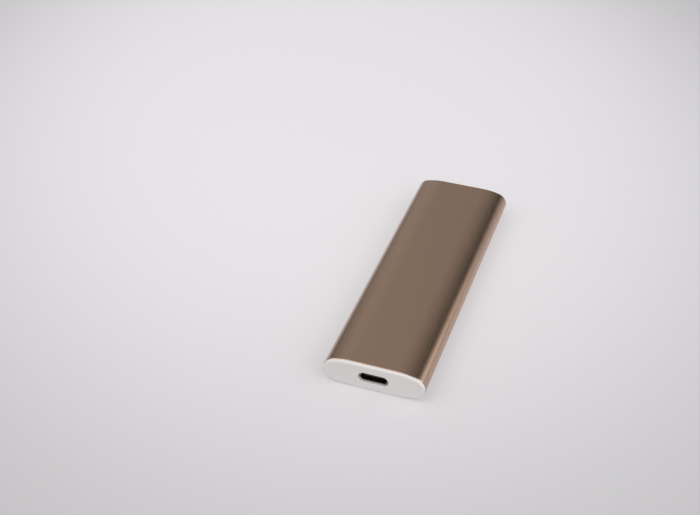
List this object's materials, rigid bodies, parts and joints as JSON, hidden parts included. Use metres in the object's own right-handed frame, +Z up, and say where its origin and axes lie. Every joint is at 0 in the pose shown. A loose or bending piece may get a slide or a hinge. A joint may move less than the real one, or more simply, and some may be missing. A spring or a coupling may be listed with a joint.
{
  "type": "portable solid state drive",
  "caption": "Slim stick-shaped external storage drive in an oval satin metal sleeve with white plastic end caps and one small reversible socket in the front cap.",
  "frame": {"origin": "centre of the whole drive's footprint, on the flat strip that it rests on", "axes": "+Z up, +Y along the drive from the socket end to the rear end, +X across its width"},
  "size_m": [0.0316, 0.101, 0.0092],
  "materials": {
    "sleeve_metal": "bead-blasted and anodised, satin warm brown-gold",
    "cap_plastic": "fine satin white, faintly translucent",
    "tray_plastic": "moulded, fine texture",
    "circuit_board": "solder mask over glass-filled board",
    "spreader_metal": "rolled sheet",
    "graphite_film": "smooth dark film",
    "thermal_pad": "soft silicone",
    "screw_steel": "plated",
    "socket_steel": "drawn and plated",
    "socket_plastic": "moulded black",
    "contact_gold": "gold plated",
    "chip_resin": "moulded black resin",
    "inductor_resin": "pressed grey powder",
    "capacitor_resin": "moulded yellow resin",
    "crystal_can": "seam-welded lid",
    "capacitor_ceramic": "fired ceramic with tinned ends",
    "resistor_ceramic": "glazed ceramic with tinned ends",
    "spring_metal": "plated copper alloy strip"
  },
  "bodies": {
    "root": {"outer_sleeve": "sleeve_metal", "front_cap": "cap_plastic", "rear_cap": "cap_plastic", "inner_tray": "tray_plastic", "main_board": "circuit_board", "heat_spreader": "spreader_metal", "spreader_film": "graphite_film", "upper_thermal_pads": "thermal_pad", "lower_thermal_pads": "thermal_pad", "board_screws": "screw_steel", "usb_c_shell": "socket_steel", "usb_c_insulator": "socket_plastic", "usb_c_mid_plate": "socket_steel", "usb_c_upper_contacts": "contact_gold", "usb_c_lower_contacts": "contact_gold", "usb_bridge_chip": "chip_resin", "drive_controller": "chip_resin", "firmware_chip": "chip_resin", "cache_memory": "chip_resin", "flash_chip_1": "chip_resin", "flash_chip_2": "chip_resin", "flash_chip_3": "chip_resin", "flash_chip_4": "chip_resin", "power_regulators": "chip_resin", "power_inductors": "inductor_resin", "storage_capacitors": "capacitor_resin", "crystals": "crystal_can", "ceramic_capacitors": "capacitor_ceramic", "chip_resistors": "resistor_ceramic", "ground_spring": "spring_metal"}
  },
  "joints": []
}
